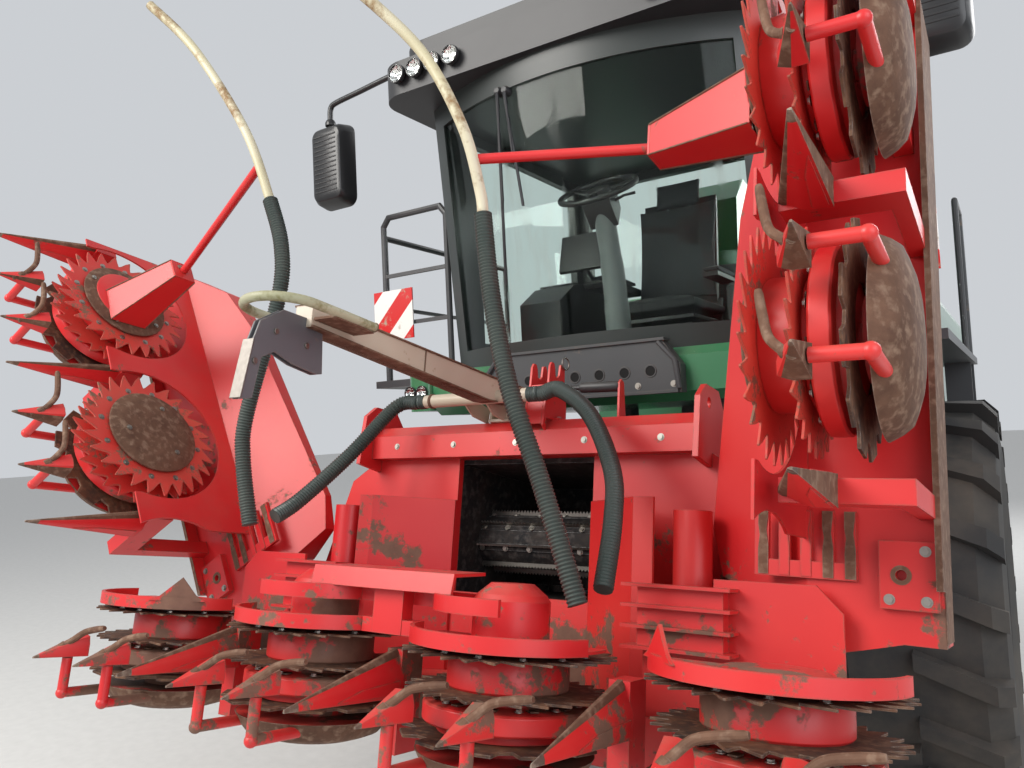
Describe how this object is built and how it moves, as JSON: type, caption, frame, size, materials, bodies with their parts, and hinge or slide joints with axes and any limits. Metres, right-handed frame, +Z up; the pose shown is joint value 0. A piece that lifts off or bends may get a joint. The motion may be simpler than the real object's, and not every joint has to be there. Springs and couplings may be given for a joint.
{
  "type": "forage harvester",
  "caption": "Self-propelled forage harvester in road position, with a folding rotary maize header, a glazed cab, a long body, large lugged front tyres and a swivelling spout.",
  "frame": {"origin": "on the ground, under the middle of the whole machine's length and width", "axes": "+Y towards the rear of the machine, +Z up, +X towards the machine's left side; the machine drives towards -Y"},
  "size_m": [4.0223, 8.7558, 3.94],
  "materials": {
    "red_paint": "satin",
    "green_paint": "gloss",
    "cab_paint": "satin",
    "chassis_paint": "satin",
    "white_paint": "satin",
    "tinted_glass": "gloss",
    "roof_plastic": "satin",
    "seat_plastic": "matte",
    "mirror_plastic": "matte",
    "lamp_lens": "gloss",
    "board_sheet": "satin",
    "tyre_rubber": "matte",
    "rim_paint": "satin",
    "worn_steel": "matte",
    "exhaust_steel": "satin",
    "sleeve_rubber": "matte",
    "tank_plastic": "matte",
    "chrome_rod": "polished"
  },
  "bodies": {
    "machine": {"chassis_frame": "chassis_paint", "front_axle": "chassis_paint", "rear_axle": "chassis_paint", "engine_block": "worn_steel", "chopper_housing": "chassis_paint", "fuel_tank": "tank_plastic", "body_shell": "green_paint", "front_bodywork": "green_paint", "cab_shell": "cab_paint", "cab_glass": "tinted_glass", "cab_roof": "roof_plastic", "cab_interior": "seat_plastic", "lamps": "lamp_lens", "platforms": "chassis_paint", "warning_boards": "board_sheet", "mirrors": "mirror_plastic", "exhaust": "exhaust_steel", "rear_hitch": "chassis_paint"},
    "cab_door": {"cab_door": "cab_paint", "cab_door_glass": "tinted_glass"},
    "rear_hood": {"rear_hood": "green_paint"},
    "side_door_left": {"side_door_left": "green_paint"},
    "side_door_right": {"side_door_right": "green_paint"},
    "front_wheel_left": {"front_tyre_left": "tyre_rubber", "front_rim_left": "rim_paint"},
    "front_wheel_right": {"front_tyre_right": "tyre_rubber", "front_rim_right": "rim_paint"},
    "knuckle_left": {"knuckle_left": "chassis_paint"},
    "knuckle_right": {"knuckle_right": "chassis_paint"},
    "rear_wheel_left": {"rear_tyre_left": "tyre_rubber", "rear_rim_left": "rim_paint"},
    "rear_wheel_right": {"rear_tyre_right": "tyre_rubber", "rear_rim_right": "rim_paint"},
    "header": {"header_frame": "red_paint", "feeder_house": "worn_steel", "header_dividers": "red_paint", "rotor_guards": "red_paint", "guide_boom": "white_paint", "boom_sleeves": "sleeve_rubber"},
    "feed_roller": {"feed_roller": "worn_steel"},
    "wing_left": {"wing_frame_left": "red_paint", "wing_dividers_left": "red_paint", "guide_pole_left": "white_paint"},
    "wing_right": {"wing_frame_right": "red_paint", "wing_dividers_right": "red_paint", "guide_pole_right": "white_paint"},
    "rotor_1": {"rotor_1": "red_paint"},
    "rotor_2": {"rotor_2": "red_paint"},
    "rotor_3": {"rotor_3": "red_paint"},
    "rotor_4": {"rotor_4": "red_paint"},
    "rotor_5": {"rotor_5": "red_paint"},
    "rotor_6": {"rotor_6": "red_paint"},
    "rotor_7": {"rotor_7": "red_paint"},
    "rotor_8": {"rotor_8": "red_paint"},
    "spout_turret": {"spout_turret": "green_paint"},
    "spout_arm": {"spout_arm": "green_paint"},
    "spout_flap": {"spout_flap": "green_paint"},
    "lift_barrels": {"lift_barrels": "chassis_paint"},
    "lift_rods": {"lift_rods": "chrome_rod"}
  },
  "joints": [
    {"name": "cab_door_hinge", "type": "hinge", "parent": "machine", "child": "cab_door", "pos_m": [1.261, -0.902, 2.5], "axis": [0, 0, 1], "range_deg": [0, 90]},
    {"name": "rear_hood_hinge", "type": "hinge", "parent": "machine", "child": "rear_hood", "pos_m": [0.391, 3.898, 2.874], "axis": [1, 0, 0], "range_deg": [0, 70]},
    {"name": "side_door_left_hinge", "type": "hinge", "parent": "machine", "child": "side_door_left", "pos_m": [1.659, 1.092, 2], "axis": [0, 0, -1], "range_deg": [0, 100]},
    {"name": "side_door_right_hinge", "type": "hinge", "parent": "machine", "child": "side_door_right", "pos_m": [-0.877, 1.092, 2], "axis": [0, 0, 1], "range_deg": [0, 100]},
    {"name": "front_wheel_left_axle", "type": "hinge", "parent": "machine", "child": "front_wheel_left", "pos_m": [1.621, -1.242, 0.95], "axis": [1, 0, 0], "continuous": true},
    {"name": "steering_left", "type": "hinge", "parent": "machine", "child": "knuckle_left", "pos_m": [1.181, 1.958, 0.675], "axis": [0, 0, 1], "range_deg": [-30, 30]},
    {"name": "rear_wheel_left_axle", "type": "hinge", "parent": "knuckle_left", "child": "rear_wheel_left", "pos_m": [1.541, 1.958, 0.675], "axis": [1, 0, 0], "continuous": true},
    {"name": "front_wheel_right_axle", "type": "hinge", "parent": "machine", "child": "front_wheel_right", "pos_m": [-0.839, -1.242, 0.95], "axis": [1, 0, 0], "continuous": true},
    {"name": "steering_right", "type": "hinge", "parent": "machine", "child": "knuckle_right", "pos_m": [-0.399, 1.958, 0.675], "axis": [0, 0, 1], "range_deg": [-30, 30]},
    {"name": "rear_wheel_right_axle", "type": "hinge", "parent": "knuckle_right", "child": "rear_wheel_right", "pos_m": [-0.759, 1.958, 0.675], "axis": [1, 0, 0], "continuous": true},
    {"name": "header_lift", "type": "hinge", "parent": "machine", "child": "header", "pos_m": [0.391, -1.292, 1.3], "axis": [1, 0, 0], "range_deg": [-2, 18.5]},
    {"name": "feed_roller_shaft", "type": "hinge", "parent": "header", "child": "feed_roller", "pos_m": [0.391, -2.79557, 1.38321], "axis": [1, 0, 0], "continuous": true},
    {"name": "rotor_3_shaft", "type": "hinge", "parent": "header", "child": "rotor_3", "pos_m": [-0.734, -3.742, 1.231], "axis": [0, 0.1908, 0.9816], "continuous": true},
    {"name": "rotor_4_shaft", "type": "hinge", "parent": "header", "child": "rotor_4", "pos_m": [0.016, -3.742, 1.231], "axis": [0, 0.1908, 0.9816], "continuous": true},
    {"name": "rotor_5_shaft", "type": "hinge", "parent": "header", "child": "rotor_5", "pos_m": [0.766, -3.742, 1.231], "axis": [0, 0.1908, 0.9816], "continuous": true},
    {"name": "rotor_6_shaft", "type": "hinge", "parent": "header", "child": "rotor_6", "pos_m": [1.516, -3.742, 1.231], "axis": [0, 0.1908, 0.9816], "continuous": true},
    {"name": "wing_left_fold", "type": "hinge", "parent": "header", "child": "wing_left", "pos_m": [1.471, -3.24413, 1.17192], "axis": [0, 0.9816, -0.1908], "range_deg": [0, 89]},
    {"name": "wing_right_fold", "type": "hinge", "parent": "header", "child": "wing_right", "pos_m": [-0.689, -3.24413, 1.17192], "axis": [0, -0.9816, 0.1908], "range_deg": [-20, 59]},
    {"name": "rotor_7_shaft", "type": "hinge", "parent": "wing_left", "child": "rotor_7", "pos_m": [1.52187, -3.58339, 2.04696], "axis": [-0.9998, 0.0033, 0.0171], "continuous": true},
    {"name": "rotor_8_shaft", "type": "hinge", "parent": "wing_left", "child": "rotor_8", "pos_m": [1.53496, -3.44031, 2.78307], "axis": [-0.9998, 0.0033, 0.0171], "continuous": true},
    {"name": "rotor_2_shaft", "type": "hinge", "parent": "wing_right", "child": "rotor_2", "pos_m": [-1.13017, -3.60855, 1.91754], "axis": [0.8572, 0.0983, 0.5056], "continuous": true},
    {"name": "rotor_1_shaft", "type": "hinge", "parent": "wing_right", "child": "rotor_1", "pos_m": [-1.51645, -3.48588, 2.54861], "axis": [0.8572, 0.0983, 0.5056], "continuous": true},
    {"name": "spout_turn", "type": "hinge", "parent": "machine", "child": "spout_turret", "pos_m": [0.391, -0.292, 2.95], "axis": [0, 0, 1], "range_deg": [-100, 100]},
    {"name": "spout_lift", "type": "hinge", "parent": "spout_turret", "child": "spout_arm", "pos_m": [0.391, -0.172, 3.33], "axis": [1, 0, 0], "range_deg": [0, 25]},
    {"name": "spout_flap_tilt", "type": "hinge", "parent": "spout_arm", "child": "spout_flap", "pos_m": [0.391, 3.508, 3.35], "axis": [1, 0, 0], "range_deg": [-10, 60]},
    {"name": "lift_barrel_pivot", "type": "hinge", "parent": "machine", "child": "lift_barrels", "pos_m": [0.391, -1.477, 0.85], "axis": [1, 0, 0], "range_deg": [-3.02, 22.96]},
    {"name": "lift_rod_slide", "type": "slide", "parent": "lift_barrels", "child": "lift_rods", "axis": [0, -0.9944, 0.1061], "range_m": [-0.1481, 0.0214]}
  ],
  "couplings": [
    {"joint": "lift_barrel_pivot", "follows": "header_lift", "ratio": 1.2089},
    {"joint": "lift_rod_slide", "follows": "header_lift", "m_per_rad": -0.4402},
    {"joint": "steering_right", "follows": "steering_left", "ratio": 1}
  ]
}
